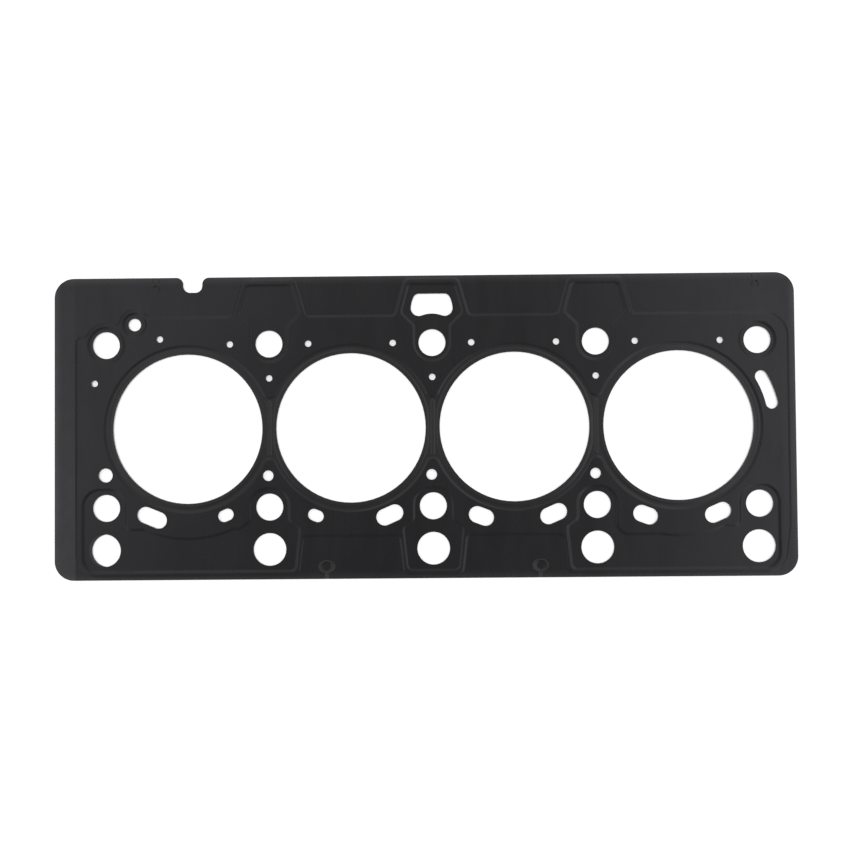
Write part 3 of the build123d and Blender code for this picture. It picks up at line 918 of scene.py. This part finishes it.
# Side panels of the studio: place and brightness of each stop, from the ceiling's middle outward
PANEL = ((0.12, 0.0), (0.22, 0.34), (0.3, 0.84), (0.42, 0.84), (0.52, 0.35), (0.64, 0.05))
PANEL_GREEN = 0.95


def backdrop_rays(tree):
    """1 for the rays that see the background: camera, glossy and transmission rays."""
    rays = tree.nodes.new("ShaderNodeLightPath")
    total = rays.outputs["Is Camera Ray"]
    for kind in ("Is Glossy Ray", "Is Transmission Ray"):
        total = math_node(tree, "MAXIMUM", total, rays.outputs[kind])
    return total


def add_floor():
    """Pale floor that shows white where the part leaves no shadow."""
    half, below, pale, glow = 3.0, 0.05 * MM, 0.82, 0.45
    mesh = bpy.data.meshes.new("floor")
    corners = [(-half, -half, 0), (half, -half, 0), (half, half, 0), (-half, half, 0)]
    mesh.from_pydata(corners, [], [(0, 1, 2, 3)])
    floor = bpy.data.objects.new("floor", mesh)
    bpy.context.scene.collection.objects.link(floor)
    floor.location.z = -below
    material, tree, bsdf = shader("floor_white")
    bsdf.inputs["Base Color"].default_value = (pale, pale, pale, 1.0)
    bsdf.inputs["Roughness"].default_value = 1.0
    bsdf.inputs["Specular IOR Level"].default_value = 0.0
    bsdf.inputs["Emission Color"].default_value = WHITE
    shine = math_node(tree, "MULTIPLY", backdrop_rays(tree), glow)
    tree.links.new(shine, bsdf.inputs["Emission Strength"])
    mesh.materials.append(material)


def side_panels(tree, x, y):
    """Broad bright panels left and right of a dark ceiling, leaning, and brighter on the right."""
    lean = ramp(tree, x, (-0.1, 0.1), (0.47, 0.2))
    side = math_node(tree, "MULTIPLY_ADD", y, lean, math_node(tree, "ABSOLUTE", x))
    panel = tree.nodes.new("ShaderNodeValToRGB")
    while len(panel.color_ramp.elements) < len(PANEL):
        panel.color_ramp.elements.new(0.5)
    for stop, (place, amount) in zip(panel.color_ramp.elements, PANEL):
        stop.position = place
        stop.color = (amount, amount * PANEL_GREEN, amount, 1.0)
    panel.color_ramp.interpolation = "EASE"
    tree.links.new(side, panel.inputs["Fac"])
    gain = ramp(tree, x, (0.1, 0.3), (1.0, 1.3))
    return mix_node(tree, "MULTIPLY", 1.0, panel.outputs["Color"], gain)


def add_world():
    """White studio with a dark ceiling between two broad side panels, and an even fill."""
    world = bpy.data.worlds.new("studio")
    bpy.context.scene.world = world
    world.use_nodes = True
    tree = world.node_tree
    light = tree.nodes["Background"]
    x, y, z = split(tree, coordinates(tree, "Generated"))
    # The ceiling is darkest on the near side, and grows paler in two steps toward the far one
    near = ramp(tree, y, (-0.2, 0.15), (0.13, 0.24))
    far = ramp(tree, y, (0.12, 0.7), (0.0, 0.38))
    ceiling = math_node(tree, "ADD", near, far)
    lit = mix_node(tree, "LIGHTEN", 1.0, ceiling, side_panels(tree, x, y))
    horizon = ramp(tree, z, (0.2, 0.5), (1.0, 0.0))
    seen = mix_node(tree, "MIX", horizon, lit, WHITE)
    fill = (FILL_LIGHT, FILL_LIGHT, FILL_LIGHT, 1.0)
    result = mix_node(tree, "MIX", backdrop_rays(tree), fill, seen)
    tree.links.new(result, light.inputs["Color"])


def add_softbox(name, place):
    """Square area lamp aimed at the part."""
    data = bpy.data.lights.new(name, "AREA")
    data.size = 0.9
    data.energy = 4.0
    lamp = bpy.data.objects.new(name, data)
    lamp.location = place
    lamp.rotation_euler = (-Vector(place)).to_track_quat("-Z", "Y").to_euler()
    lamp.visible_glossy = False
    bpy.context.scene.collection.objects.link(lamp)


def add_camera():
    """Camera nearly straight above the part."""
    data = bpy.data.cameras.new("camera")
    data.lens = 45.32
    camera = bpy.data.objects.new("camera", data)
    camera.location = (0.0049, -0.0126, 0.5511)
    camera.rotation_euler = [math.radians(a) for a in (1.381, 0.485, -0.485)]
    bpy.context.scene.collection.objects.link(camera)
    bpy.context.scene.camera = camera


add_floor()
add_world()
add_softbox("softbox_left", (-1.3, 0.5, 1.5))
add_softbox("softbox_right", (1.4, 0.3, 1.4))
add_camera()
bpy.context.scene.view_settings.view_transform = "Standard"
